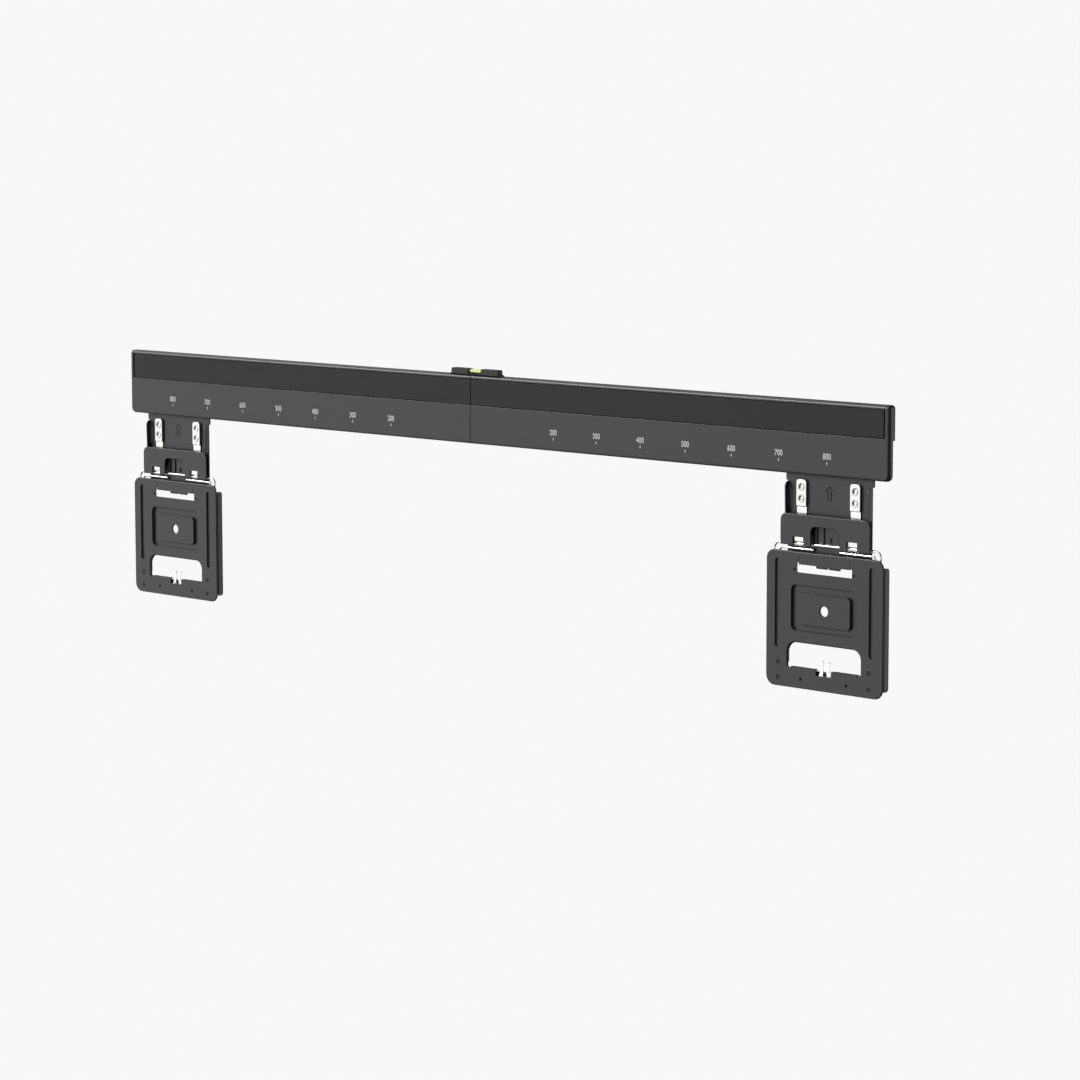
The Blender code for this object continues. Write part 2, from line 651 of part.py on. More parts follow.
# ----------------------------------------------------------------- assembly
def build_rail(looks):
    wall = pivot_empty("rail_body", (0, 0, 0))
    for name, side in (("left", -1), ("right", 1)):
        piece(f"rail_{name}", rail_half(side), looks["steel"], wall)
        piece(f"cover_strip_{name}", cover_strip(side), looks["band"], wall)
    piece("rail_joiner", rail_joiner(), looks["steel"], wall)
    for x_name, x in (("left", -JOINER_SCREW_X), ("right", JOINER_SCREW_X)):
        for z_name, z in (("upper", JOINER_SCREW_Z), ("lower", -JOINER_SCREW_Z)):
            screw = joiner_screw(x, z)
            piece(f"joiner_screw_{z_name}_{x_name}", screw, looks["nickel"], wall, smooth=True)
    return wall


def build_level(looks, wall):
    lift = pivot_empty("level_lift", (LEVEL_X, VIAL_Y, LEVEL_Z[0]), wall)
    piece("level_housing", level_housing(), looks["plastic"], lift)
    piece("level_vial", level_vial(), looks["vial"], lift, smooth=True)
    for name, x in (("left", -MAGNET_X), ("right", MAGNET_X)):
        piece(f"level_magnet_{name}", level_magnet(x), looks["nickel"], lift, smooth=True)


def bracket_pieces(looks):
    """Every piece of one bracket as (name, shape, look, body, smooth)."""
    steel, nickel = looks["steel"], looks["nickel"]
    pieces = [
        ("hanger_plate", hanger_plate(), steel, "slide", False),
        ("bridge_plate", bridge_plate(), steel, "slide", False),
        ("stop_tongue", stop_tongue(), steel, "slide", False),
        ("tongue_rivet", tongue_rivet(), steel, "slide", True),
        ("wire_bail", wire_bail(), nickel, "tilt", True),
        ("tv_plate", tv_plate(), steel, "tilt", False),
        ("spring_clip", spring_clip(), nickel, "tilt", False),
        ("kickstand", kickstand(), steel, "stand", False),
    ]
    for where, side in (("west", -1), ("east", 1)):
        u = side * STRAP_U
        pieces += [
            (f"clamp_plate_{where}", clamp_plate(u), nickel, "slide", False),
            (f"hinge_strap_{where}", hinge_strap(u), nickel, "slide", True),
            (f"strap_rivet_upper_{where}", strap_rivet(u, RIVET_Z[0]), nickel, "slide", True),
            (f"strap_rivet_lower_{where}", strap_rivet(u, RIVET_Z[1]), nickel, "slide", True),
            (f"bail_saddle_{where}", bail_saddle(side * BAIL_HALF), steel, "tilt", False),
            (f"spacer_{where}", spacer(side), looks["plastic"], "tilt", False),
            (f"kickstand_pin_{where}", kickstand_pin(side), nickel, "tilt", True),
        ]
    return pieces


def build_brackets(looks, wall):
    """Two equal brackets that share their meshes."""
    pieces = bracket_pieces(looks)
    for side_name, x in (("left", -BRACKET_X), ("right", BRACKET_X)):
        slide = pivot_empty(f"slide_{side_name}", (x, 0, RAIL_BOTTOM), wall)
        tilt = pivot_empty(f"tilt_{side_name}", (x, TILT_Y, TILT_Z), slide)
        stand = pivot_empty(f"stand_{side_name}", (x, PIN_Y, PIN_Z), tilt)
        pivots = {"slide": slide, "tilt": tilt, "stand": stand}
        for name, shape, look, body, smooth in pieces:
            own = shape.copy()
            own.data = shape.data.copy()
            own.data.transform(Matrix.Translation((x * MM, 0, 0)))
            bpy.context.scene.collection.objects.link(own)
            piece(f"{name}_{side_name}", own, look, pivots[body], smooth)
    for _, shape, *_ in pieces:
        bpy.data.objects.remove(shape)


def main():
    for old in list(bpy.data.objects):
        bpy.data.objects.remove(old)
    looks = {
        "steel": material("powder_coated_steel", STEEL_BLACK),
        "band": material("cover_band", BAND_BLACK),
        "plastic": material("black_plastic", PLASTIC_BLACK),
        "nickel": material("nickel_plate", NICKEL),
        "vial": material("vial_fluid", VIAL_GREEN),
    }
    wall = build_rail(looks)
    build_level(looks, wall)
    build_brackets(looks, wall)
    bpy.context.view_layer.update()


main()
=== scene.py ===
import json
import math

import bmesh
import bpy
from mathutils import Euler, Matrix, Vector


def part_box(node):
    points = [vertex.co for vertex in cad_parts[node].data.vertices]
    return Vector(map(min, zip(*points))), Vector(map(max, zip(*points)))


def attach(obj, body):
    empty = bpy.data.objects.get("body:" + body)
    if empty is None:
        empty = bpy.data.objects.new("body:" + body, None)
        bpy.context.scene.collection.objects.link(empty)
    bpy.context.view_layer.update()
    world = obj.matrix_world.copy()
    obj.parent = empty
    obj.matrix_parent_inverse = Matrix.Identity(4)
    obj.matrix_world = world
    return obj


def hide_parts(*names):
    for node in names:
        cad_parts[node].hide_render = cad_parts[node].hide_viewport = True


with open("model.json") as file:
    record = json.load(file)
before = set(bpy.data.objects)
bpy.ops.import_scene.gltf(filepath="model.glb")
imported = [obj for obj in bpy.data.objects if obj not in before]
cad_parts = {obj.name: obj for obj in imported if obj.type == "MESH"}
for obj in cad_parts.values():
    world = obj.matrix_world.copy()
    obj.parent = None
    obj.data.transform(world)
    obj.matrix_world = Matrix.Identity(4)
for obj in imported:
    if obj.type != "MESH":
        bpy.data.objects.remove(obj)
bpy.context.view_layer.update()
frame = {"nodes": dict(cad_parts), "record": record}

MM = 0.001
SIDES = ("left", "right")
ENDS = ("west", "east")


def box_mm(node):
    """Lowest and highest corner of a CAD node, in millimetres."""
    low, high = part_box(node)
    return low / MM, high / MM


def middle_x(node):
    low, high = box_mm(node)
    return (low.x + high.x) / 2


BRACKET_X = {side: middle_x(f"tv_plate_{side}") for side in SIDES}

# ------------------------------------------------------------------ camera and light
CAMERA_PLACE = (2.2325, -2.1495, 0.2425)    # metres
CAMERA_TURN = (83.17, 0.08, 45.07)          # degrees
CAMERA_LENS = 121.1
CAMERA_SENSOR = 36.0
CAMERA_CLIP = (0.05, 2000.0)
BACKDROP = 0.94                # brightness of the background and floor as the camera sees them
SKY_BASE = 0.10                # weak light from everywhere
SOFTBOXES = (                  # towards, cosine where it starts and is full, strength
    ((-0.75, -0.55, 0.36), 0.10, 0.75, 1.15),
    ((0.70, 0.70, -0.08), 0.78, 0.96, 1.25),
)
KEY_FROM = Vector((-0.85, -0.75, 0.55))
KEY_STRENGTH = 1.5
KEY_ANGLE = 6.0
FLOOR_Z = -1.1                 # metres, well below the object, and far out to the horizon
FLOOR_HALF = 900.0
WHITE = (1, 1, 1, 1)


def make_camera():
    data = bpy.data.cameras.new("camera")
    data.sensor_width = CAMERA_SENSOR
    data.lens = CAMERA_LENS
    data.clip_start, data.clip_end = CAMERA_CLIP
    camera = bpy.data.objects.new("camera", data)
    camera.location = CAMERA_PLACE
    camera.rotation_euler = Euler([math.radians(a) for a in CAMERA_TURN])
    bpy.context.scene.collection.objects.link(camera)
    bpy.context.scene.camera = camera


def softbox(tree, direction, towards, start, full, strength):
    """Brightness of one large soft light that fades out around its middle."""
    facing = tree.nodes.new("ShaderNodeVectorMath")
    facing.operation = "DOT_PRODUCT"
    facing.inputs[1].default_value = Vector(towards).normalized()
    tree.links.new(direction, facing.inputs[0])
    fade = tree.nodes.new("ShaderNodeMapRange")
    fade.interpolation_type = "SMOOTHSTEP"
    for name, value in (("From Min", start), ("From Max", full), ("To Max", strength)):
        fade.inputs[name].default_value = value
    tree.links.new(facing.outputs["Value"], fade.inputs["Value"])
    return fade.outputs["Result"]


def dome_strength(tree):
    """The weak sky with every softbox added to it, as one brightness."""
    direction = tree.nodes.new("ShaderNodeTexCoord").outputs["Generated"]
    total = None
    for box_facts in SOFTBOXES:
        added = tree.nodes.new("ShaderNodeMath")
        added.inputs[1].default_value = SKY_BASE
        if total:
            tree.links.new(total, added.inputs[1])
        tree.links.new(softbox(tree, direction, *box_facts), added.inputs[0])
        total = added.outputs["Value"]
    return total


def make_world():
    """Dome with softboxes for the surfaces, one even brightness for the camera."""
    world = bpy.data.worlds.new("studio")
    world.use_nodes = True
    tree = world.node_tree
    dome = tree.nodes["Background"]
    dome.inputs["Color"].default_value = WHITE
    tree.links.new(dome_strength(tree), dome.inputs["Strength"])
    backdrop = tree.nodes.new("ShaderNodeBackground")
    backdrop.inputs["Color"].default_value = WHITE
    backdrop.inputs["Strength"].default_value = BACKDROP
    path = tree.nodes.new("ShaderNodeLightPath")
    mix = tree.nodes.new("ShaderNodeMixShader")
    tree.links.new(path.outputs["Is Camera Ray"], mix.inputs["Fac"])
    tree.links.new(dome.outputs["Background"], mix.inputs[1])
    tree.links.new(backdrop.outputs["Background"], mix.inputs[2])
    tree.links.new(mix.outputs["Shader"], tree.nodes["World Output"].inputs["Surface"])
    bpy.context.scene.world = world
    bpy.context.scene.view_settings.view_transform = "Standard"


def make_key():
    data = bpy.data.lights.new("key", "SUN")
    data.energy = KEY_STRENGTH
    data.angle = math.radians(KEY_ANGLE)
    key = bpy.data.objects.new("key", data)
    key.rotation_mode = "QUATERNION"
    key.rotation_quaternion = (-KEY_FROM).to_track_quat("-Z", "Y")
    bpy.context.scene.collection.objects.link(key)


# ------------------------------------------------------------------------- materials
NOISE_RANGE = (0.3, 0.7)       # where nearly all of a noise's values lie
# colour, roughness, size of the grain and its height in mm, specular level
COATS = {
    "black_steel": ("powder_coat", (0.018, 0.018, 0.0185), 0.38, 0.45, 0.012, 0.5),
    "cover_band": ("moulded_band", (0.0115, 0.0115, 0.012), 0.48, 0.3, 0.015, 0.23),
    "black_plastic": ("grained_plastic", (0.02, 0.02, 0.021), 0.45, 0.25, 0.015, 0.3),
}
# colour, roughness, how the drawing lines are stretched
PLATINGS = {
    "nickel": ("nickel_plate", (0.80, 0.795, 0.78), 0.24, (1.0, 1.0, 0.12)),
    "wire": ("drawn_wire", (0.86, 0.855, 0.84), 0.2, (0.12, 1.0, 1.0)),
}
PAINT = (0.60, 0.60, 0.60)
FLUID = (0.74, 0.93, 0.30)
# painted shade: the dark colour at the foot of the vial and the heights where the fluid's colour
# darkens into it
FLUID_PAINTED_SHADE = (0.06, 0.09, 0.01)
FLUID_STOPS = (0.22, 0.4)      # shares of the vial's height between which the colour turns
MOTTLE_SIZE = 22.0             # millimetres, the coat's faint cloudiness
MOTTLE_GAIN = 0.06
COAT_ROUGHER = 0.06            # how far a coat's roughness varies either way
LINE_SIZE = 0.25               # millimetres, drawing lines on plated metal
LINE_GAIN = 0.03
LINE_SMOOTHER = 0.03           # how far the roughness drops and rises between the lines
LINE_ROUGHER = 0.04
LINE_RELIEF = 0.0004           # millimetres
PAINT_GRAIN = 0.4              # millimetres
PAINT_GAIN = 0.08


def add_node(tree, kind, **values):
    """New shader node with the given inputs set; names use _ for a space."""
    made = tree.nodes.new(kind)
    for name, value in values.items():
        made.inputs[name.replace("_", " ")].default_value = value
    return made


def new_material(name, colour, roughness, metallic=0.0, specular=0.5):
    made = bpy.data.materials.new(name)
    made.use_nodes = True
    made.diffuse_color = (*colour, 1.0)
    shader = made.node_tree.nodes["Principled BSDF"]
    shader.inputs["Base Color"].default_value = (*colour, 1.0)
    shader.inputs["Roughness"].default_value = roughness
    shader.inputs["Metallic"].default_value = metallic
    shader.inputs["Specular IOR Level"].default_value = specular
    return made, made.node_tree, shader


def object_space(tree, stretch=(1.0, 1.0, 1.0)):
    """The piece's own coordinates, stretched along an axis for a brushed grain."""
    source = add_node(tree, "ShaderNodeTexCoord")
    mapping = add_node(tree, "ShaderNodeMapping", Scale=stretch)
    tree.links.new(source.outputs["Object"], mapping.inputs["Vector"])
    return mapping.outputs["Vector"]


def noise(tree, space, size, detail=3.0):
    """Noise whose features are about size millimetres across."""
    made = add_node(tree, "ShaderNodeTexNoise", Scale=1.0 / (size * MM), Detail=detail)
    tree.links.new(space, made.inputs["Vector"])
    return made.outputs["Fac"]


def spread(tree, source, low, high):
    """Maps a noise's useful range onto low to high."""
    made = add_node(tree, "ShaderNodeMapRange", From_Min=NOISE_RANGE[0],
                    From_Max=NOISE_RANGE[1], To_Min=low, To_Max=high)
    tree.links.new(source, made.inputs["Value"])
    return made.outputs["Result"]


def vary_colour(tree, shader, source, colour, amount):
    """Base colour between colour darkened and lightened by amount."""
    ramp = add_node(tree, "ShaderNodeValToRGB")
    for stop, place, gain in zip(ramp.color_ramp.elements, NOISE_RANGE, (1 - amount, 1 + amount)):
        stop.position = place
        stop.color = (*[c * gain for c in colour], 1.0)
    tree.links.new(source, ramp.inputs["Fac"])
    tree.links.new(ramp.outputs["Color"], shader.inputs["Base Color"])


def add_bump(tree, shader, source, height):
    """Surface relief of the given height in millimetres."""
    bump = add_node(tree, "ShaderNodeBump", Strength=1.0, Distance=height * MM)
    tree.links.new(source, bump.inputs["Height"])
    tree.links.new(bump.outputs["Normal"], shader.inputs["Normal"])


def coated(name, colour, roughness, grain, relief, specular):
    """Powder coat or moulded plastic: fine pebbled grain and a faint mottle."""
    made, tree, shader = new_material(name, colour, roughness, specular=specular)
    space = object_space(tree)
    mottle = noise(tree, space, MOTTLE_SIZE, detail=5.0)
    vary_colour(tree, shader, mottle, colour, MOTTLE_GAIN)
    fine = noise(tree, space, grain, detail=2.0)
    rough = spread(tree, fine, roughness - COAT_ROUGHER, roughness + COAT_ROUGHER)
    tree.links.new(rough, shader.inputs["Roughness"])
    add_bump(tree, shader, fine, relief)
    return made


def plated(name, colour, roughness, stretch):
    """Plated metal with faint drawing lines along one axis."""
    made, tree, shader = new_material(name, colour, roughness, metallic=1.0)
    lines = noise(tree, object_space(tree, stretch), LINE_SIZE, detail=4.0)
    rough = spread(tree, lines, roughness - LINE_SMOOTHER, roughness + LINE_ROUGHER)
    tree.links.new(rough, shader.inputs["Roughness"])
    vary_colour(tree, shader, lines, colour, LINE_GAIN)
    add_bump(tree, shader, lines, LINE_RELIEF)
    return made


def printed(name, colour):
    """Screen-printed paint that lets a little of the coat's grain through."""
    made, tree, shader = new_material(name, colour, roughness=0.6, specular=0.3)
    grain = noise(tree, object_space(tree), PAINT_GRAIN)
    vary_colour(tree, shader, grain, colour, PAINT_GAIN)
    return made


def vial_fluid(name):
    """Tinted fluid with painted shade that darkens it towards the bottom of the tube."""
    made, tree, shader = new_material(name, FLUID, roughness=0.08)
    low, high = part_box("level_vial")
    split = add_node(tree, "ShaderNodeSeparateXYZ")
    tree.links.new(object_space(tree), split.inputs["Vector"])
    height = add_node(tree, "ShaderNodeMapRange", From_Min=low.z, From_Max=high.z)
    tree.links.new(split.outputs["Z"], height.inputs["Value"])
    # painted shade: the colour ramps from dark at the foot of the tube to the fluid's colour higher up
    ramp = add_node(tree, "ShaderNodeValToRGB")
    for stop, place, tint in zip(ramp.color_ramp.elements, FLUID_STOPS, (FLUID_PAINTED_SHADE, FLUID)):
        stop.position = place
        stop.color = (*tint, 1.0)
    tree.links.new(height.outputs["Result"], ramp.inputs["Fac"])
    tree.links.new(ramp.outputs["Color"], shader.inputs["Base Color"])
    for part, value in (("Transmission Weight", 0.25), ("Coat Weight", 1.0), ("Coat Roughness", 0.03)):
        shader.inputs[part].default_value = value
    return made


def make_materials():
    """Every material, by the slot or the special use it is for."""
    made = {slot: coated(*facts) for slot, facts in COATS.items()}
    made.update({slot: plated(*facts) for slot, facts in PLATINGS.items()})
    made["print"] = printed("scale_paint", PAINT)
    made["vial"] = vial_fluid("vial_fluid")
    return made


# ---------------------------------------------------------------------------- shapes
def loft(rings):
    """Closed solid through rings of points with equal counts, ends capped."""
    bm = bmesh.new()
    loops = [[bm.verts.new([c * MM for c in point]) for point in ring] for ring in rings]
    count = len(loops[0])
    for first, second in zip(loops, loops[1:]):
        for i in range(count):
            j = (i + 1) % count
            bm.faces.new((first[i], first[j], second[j], second[i]))
    bm.faces.new(loops[0])
    bm.faces.new(loops[-1])
    bmesh.ops.recalc_face_normals(bm, faces=bm.faces)
    mesh = bpy.data.meshes.new("shape")
    bm.to_mesh(mesh)
    bm.free()
    shape = bpy.data.objects.new("shape", mesh)
    bpy.context.scene.collection.objects.link(shape)
    return shape


def at_depth(outline, y):
    return [(x, y, z) for x, z in outline]


def slab(outline, y0, y1):
    """Plate: an outline in x and z, from y0 to y1."""
    return loft([at_depth(outline, y0), at_depth(outline, y1)])


def box(x0, x1, y0, y1, z0, z1):
    return slab([(x0, z0), (x1, z0), (x1, z1), (x0, z1)], y0, y1)


def rounded(x0, x1, z0, z1, bottom, top, steps=7):
    """Rectangle outline whose bottom and top corners have their own radii."""
    outline = []
    corners = ((x1, z0, -1, 1, bottom, -90), (x1, z1, -1, -1, top, 0),
               (x0, z1, 1, -1, top, 90), (x0, z0, 1, 1, bottom, 180))
    for x, z, inward_x, inward_z, radius, start in corners:
        if radius <= 0:
            outline.append((x, z))
            continue
        for i in range(steps + 1):
            turn = math.radians(start + 90 * i / steps)
            outline.append((x + inward_x * radius + radius * math.cos(turn),
                            z + inward_z * radius + radius * math.sin(turn)))
    return outline


def quarter(steps):
    """Angles from zero to a quarter turn, both included."""
    return [math.pi / 2 * i / steps for i in range(steps + 1)]


def disc(x, z, radius, sides):
    """Regular outline round a middle, as good as a circle."""
    turns = [2 * math.pi * i / sides for i in range(sides)]
    return [(x + radius * math.cos(turn), z + radius * math.sin(turn)) for turn in turns]


def pin_hole(y, z, radius, x0, x1):
    """Cylinder along x."""
    return loft([[(x, *point) for point in disc(y, z, radius, 24)] for x in (x0, x1)])


def turned(x, z, profile, sides=32):
    """Solid of revolution about a y axis, through (radius, y) points."""
    return loft([at_depth(disc(x, z, radius, sides), y) for radius, y in profile])


def swept(path, radius):
    """Round wire along a smooth path of 3D points."""
    sides = 20
    path = [Vector(point) for point in path]
    rings = []
    for i, point in enumerate(path):
        along = (path[min(i + 1, len(path) - 1)] - path[max(i - 1, 0)]).normalized()
        across = along.cross(Vector((0, 1, 0))).normalized()
        up = across.cross(along)
        ring = []
        for k in range(sides):
            turn = 2 * math.pi * k / sides
            ring.append(tuple(point + (across * math.cos(turn) + up * math.sin(turn)) * radius))
        rings.append(ring)
    return loft(rings)


def combine(base, add=(), cut=()):
    """Join shapes to the base, then cut others from it."""
    jobs = [(shape, "UNION") for shape in add] + [(shape, "DIFFERENCE") for shape in cut]
    for shape, operation in jobs:
        boolean = base.modifiers.new("boolean", "BOOLEAN")
        boolean.operation = operation
        boolean.solver = "EXACT"
        boolean.object = shape
    graph = bpy.context.evaluated_depsgraph_get()
    mesh = bpy.data.meshes.new_from_object(base.evaluated_get(graph))
    base.modifiers.clear()
    base.data = mesh
    for shape, _ in jobs:
        bpy.data.objects.remove(shape)
    return base


WELD = 0.004                   # corners closer than this are one
FLAT = math.radians(1.0)       # faces that differ less than this are one
EDGE_ANGLE = math.radians(32)  # edges that turn more than this are sharp


def clean(mesh):
    """Welds split corners and dissolves the seams inside flat faces."""
    bm = bmesh.new()
    bm.from_mesh(mesh)
    bmesh.ops.remove_doubles(bm, verts=bm.verts, dist=WELD * MM)
    bmesh.ops.dissolve_degenerate(bm, edges=bm.edges, dist=WELD * MM)
    bmesh.ops.dissolve_limit(bm, angle_limit=FLAT, verts=bm.verts, edges=bm.edges)
    made = bpy.data.meshes.new(mesh.name)
    bm.to_mesh(made)
    bm.free()
    return made


def cad_shape(node):
    """A fresh object with a CAD node's shape, welded."""
    shape = bpy.data.objects.new("shape", clean(frame["nodes"][node].data))
    bpy.context.scene.collection.objects.link(shape)
    return shape


def soften(shape, width):
    """Rounds every sharp edge by width millimetres and shades the rest smooth."""
    shape.data = clean(shape.data)
    shape.data.shade_smooth()
    if width == 0:
        shape.data.set_sharp_from_angle(angle=EDGE_ANGLE)
    else:
        bevel = shape.modifiers.new("edges", "BEVEL")
        bevel.limit_method = "ANGLE"
        bevel.angle_limit = EDGE_ANGLE
        bevel.width = width * MM
        bevel.segments = 3
        bevel.use_clamp_overlap = False
        bevel.miter_outer = "MITER_ARC"
    weighted = shape.modifiers.new("shading", "WEIGHTED_NORMAL")
    weighted.keep_sharp = True
    weighted.weight = 100
    return shape


def round_edges(shape, chosen, width, segments):
    """Rounds the sharp edges whose midpoint, in millimetres, is chosen."""
    bm = bmesh.new()
    bm.from_mesh(clean(shape.data))
    edges = []
    for edge in bm.edges:
        middle = (edge.verts[0].co + edge.verts[1].co) / 2 / MM
        if edge.is_manifold and edge.calc_face_angle(0) > EDGE_ANGLE and chosen(middle):
            edges.append(edge)
    bmesh.ops.bevel(bm, geom=edges, offset=width * MM, segments=segments, profile=0.5,
                    affect="EDGES", clamp_overlap=False)
    made = bpy.data.meshes.new(shape.data.name)
    bm.to_mesh(made)
    bm.free()
    shape.data = made


def body_of(node):
    return next(body for body, nodes in frame["record"]["behaviour"]["bodies"].items()
                if node in nodes)


def slot_of(node):
    return next(part["material_slot"] for part in frame["record"]["subparts"]
                if part["node"] == node)


def stand_for(shape, name, node, material, replaces=True):
    """Names a finished shape and lets it stand for, or ride beside, a CAD node."""
    shape.name = name
    shape.data.name = name
    shape.data.materials.clear()
    shape.data.materials.append(material)
    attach(shape, body_of(node))
    if replaces:
        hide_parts(node)


def shifted(shape, x):
    """A copy of a bracket shape, moved from x = 0 to its own bracket."""
    own = shape.copy()
    own.data = shape.data.copy()
    own.data.transform(Matrix.Translation((x * MM, 0, 0)))
    bpy.context.scene.collection.objects.link(own)
    return own


# ---------------------------------------------------------------- television plate
PLATE_SHEET = 1.4
PLATE_LOW, PLATE_HIGH = box_mm("tv_plate_right")
PLATE_FRONT = PLATE_LOW.y
PLATE_BACK = PLATE_FRONT + PLATE_SHEET
PLATE_HALF = (PLATE_HIGH.x - PLATE_LOW.x) / 2
PLATE_RADII = (8.5, 7.5)       # bottom and top corners
EDGE_ROLL = 0.9                # radius of the plate's outer front edge
BACK_CHAMFER = 0.15
SWELL_SINK = 0.3               # how deep a swelling starts inside the sheet
FOLD_SINK = 0.2                # the same for a folded flap
FOLD = (0.05, 1.25)            # from a hole's edge to both faces of a flap folded back there
BOLT_Z = -151.0
BOLT_RADIUS = 4.1
BOLT_CHAMFER = 0.4
PANEL = (-34.0, 34.0, -169.0, -132.0)      # u and z limits, as in every such row below
PANEL_RADIUS = 5
ISLAND = (-26.5, 26.5, -163.3, -138.6)
ISLAND_RADIUS = 3
ISLAND_PLAY = 0.2              # how much wider the island's hollow is at the back
MOAT_DEPTH = 2.3
MOAT_BACK = 1.6                # how far the moat's bottom stands out at the back
MOAT_SHEET = 0.6               # how far its raised back reaches past the panel's limits
SLOPE = 0.8                    # how far a pressed wall leans over its own depth
BEAD_U = 48.3
BEAD_HALF = 2.5
BEAD = (-183.5, -112.5)        # z limits
BEAD_RADIUS = 2.4
BEAD_DEPTH = 1.5
BEAD_BACK = 0.8
BEAD_SHEET = 0.5               # how far a bead's raised back reaches past its limits
SLOT = (-28.5, 28.5, -122.4, -115.9)
SLOT_RADIUS = 1
SLOT_FLAP = 25.0               # half width of the flap folded back over the slot
SLOT_FLAP_BACK = -3.6
NOTCH = (26.2, 28.3)           # u limits of the notches at both ends of the slot's top
NOTCH_RISE = 1.7
WINDOW = (-37.3, 37.3, -197.6, -178.2)
WINDOW_RADIUS = 8.0
RIM = 1.6                      # radius of the window's rolled rim
RIM_WALL = 1.2                 # thickness of the wall round the window at the back
RIM_FOOT = 3                   # how far above the window's bottom that wall starts
RIM_BACK = 1.0                 # how far it stands out
STIFFENER = (9, 34)            # u limits of the flaps under the window
STIFFENER_BACK = -4.0
CORNER_RELIEF = (35.4, 0.5, 1.25)          # u, drop below the window's bottom, radius
CLIP_NOTCH = (8.0, 4.9)        # half width, and depth below the window
STUD_U = 46.6
STUD_Z = (-195.0, -207.5)
STUD_RADIUS = 1.5
STUD_MARK = 2.3                # half of the square recess round a stud
STUD_MARK_DEPTH = 0.3
PEEP = (23.5, -207.0)
PEEP_RADII = (1.4, 0.6)        # front and foot of a small conical hole
PEEP_FLOOR = 0.1
DIMPLE = (30.3, -120.2)
DIMPLE_RADII = (1.3, 1.2, 0.7)             # before the face, at the face, at the bottom
DIMPLE_DEPTH = 0.9
NICK = (26.1, 26.5, -113.0, -109.2)
NICK_DEPTH = 0.35
EAR = (38.8, 40.0, -118.0, -111.8)         # lug for a kickstand pin
EAR_BACK = -2.2
PIN_YZ = (-3.6, -114.0)
PIN_HOLE = 1.5


def grown(limits, by, bottom, top):
    """Rounded outline of limits, grown outward by a margin."""
    x0, x1, z0, z1 = limits
    return rounded(x0 - by, x1 + by, z0 - by, z1 + by, bottom + by, top + by)


def frustum(limits, radius, margin, y_start, y_face, y_deep):
    """Straight from a start to a face, then leaning in by SLOPE down to a depth."""
    return loft([at_depth(grown(limits, margin, radius, radius), y_start),
                 at_depth(grown(limits, margin, radius, radius), y_face),
                 at_depth(grown(limits, margin - SLOPE, radius, radius), y_deep)])


def pressing(limits, radius, y_face, y_deep, margin=0.0):
    """Cutter for a pressed hollow; it starts as far before the face as it goes deep."""
    return frustum(limits, radius, margin, y_face + (y_face - y_deep), y_face, y_deep)


def swelling(limits, radius, y_face, y_deep, margin):
    """The bump that a pressing leaves on the other side of the sheet."""
    return frustum(limits, radius, margin, y_face - SWELL_SINK, y_face, y_deep)


def rolled_window():
    """Cutter with a quarter-round front edge at the top and sides."""
    def ring(by, y):
        x0, x1, z0, z1 = WINDOW
        return at_depth(rounded(x0 - by, x1 + by, z0, z1 + by, 0, WINDOW_RADIUS + by), y)
    rings = [ring(RIM, PLATE_FRONT - 1)]
    for turn in quarter(6):
        rings.append(ring(RIM * (1 - math.sin(turn)), PLATE_FRONT + RIM * (1 - math.cos(turn))))
    rings.append(ring(0.0, PLATE_BACK + 3))
    return loft(rings)


def rolled_plate():
    """The plate's outline with a quarter-round front edge and a chamfer at the back."""
    limits = (-PLATE_HALF, PLATE_HALF, PLATE_LOW.z, PLATE_HIGH.z)
    rings = []
    for turn in quarter(5):
        inset = EDGE_ROLL * (1 - math.sin(turn))
        depth = EDGE_ROLL * (1 - math.cos(turn))
        rings.append(at_depth(grown(limits, -inset, *PLATE_RADII), PLATE_FRONT + depth))
    rings.append(at_depth(grown(limits, 0, *PLATE_RADII), PLATE_BACK - BACK_CHAMFER))
    rings.append(at_depth(grown(limits, -BACK_CHAMFER, *PLATE_RADII), PLATE_BACK))
    return loft(rings)


def side_box(side, u0, u1, y0, y1, z0, z1):
    """Box on one side of a bracket's middle; u0 and u1 are distances from it."""
    return box(*sorted((side * u0, side * u1)), y0, y1, z0, z1)


def bead_limits(side):
    return side * BEAD_U - BEAD_HALF, side * BEAD_U + BEAD_HALF, *BEAD


def plate_island():
    """What the moat leaves standing in the middle of the panel."""
    deep = PLATE_FRONT + MOAT_DEPTH
    steps = ((0.0, PLATE_FRONT - 2), (0.0, PLATE_FRONT), (SLOPE, deep), (SLOPE, deep + 0.2))
    return loft([at_depth(grown(ISLAND, by, ISLAND_RADIUS, ISLAND_RADIUS), y) for by, y in steps])


def plate_additions():
    """What stands out at the back of the sheet."""
    back = PLATE_BACK
    rim_wall = rounded(WINDOW[0] - RIM_WALL, WINDOW[1] + RIM_WALL, WINDOW[2] + RIM_FOOT,
                       WINDOW[3] + RIM_WALL, 0, WINDOW_RADIUS + RIM_WALL)
    made = [
        swelling(PANEL, PANEL_RADIUS, back, back + MOAT_BACK, SLOPE + MOAT_SHEET),
        slab(rim_wall, back - SWELL_SINK, back + RIM_BACK),
        box(-SLOT_FLAP, SLOT_FLAP, back - FOLD_SINK, SLOT_FLAP_BACK,
            SLOT[3] + FOLD[0], SLOT[3] + FOLD[1]),
    ]
    for side in (-1, 1):
        made.append(side_box(side, *STIFFENER, back - FOLD_SINK, STIFFENER_BACK,
                             WINDOW[2] - FOLD[1], WINDOW[2] - FOLD[0]))
        made.append(side_box(side, *EAR[:2], back - FOLD_SINK, EAR_BACK, *EAR[2:]))
        made.append(swelling(bead_limits(side), BEAD_RADIUS, back, back + BEAD_BACK, BEAD_SHEET))
    return made


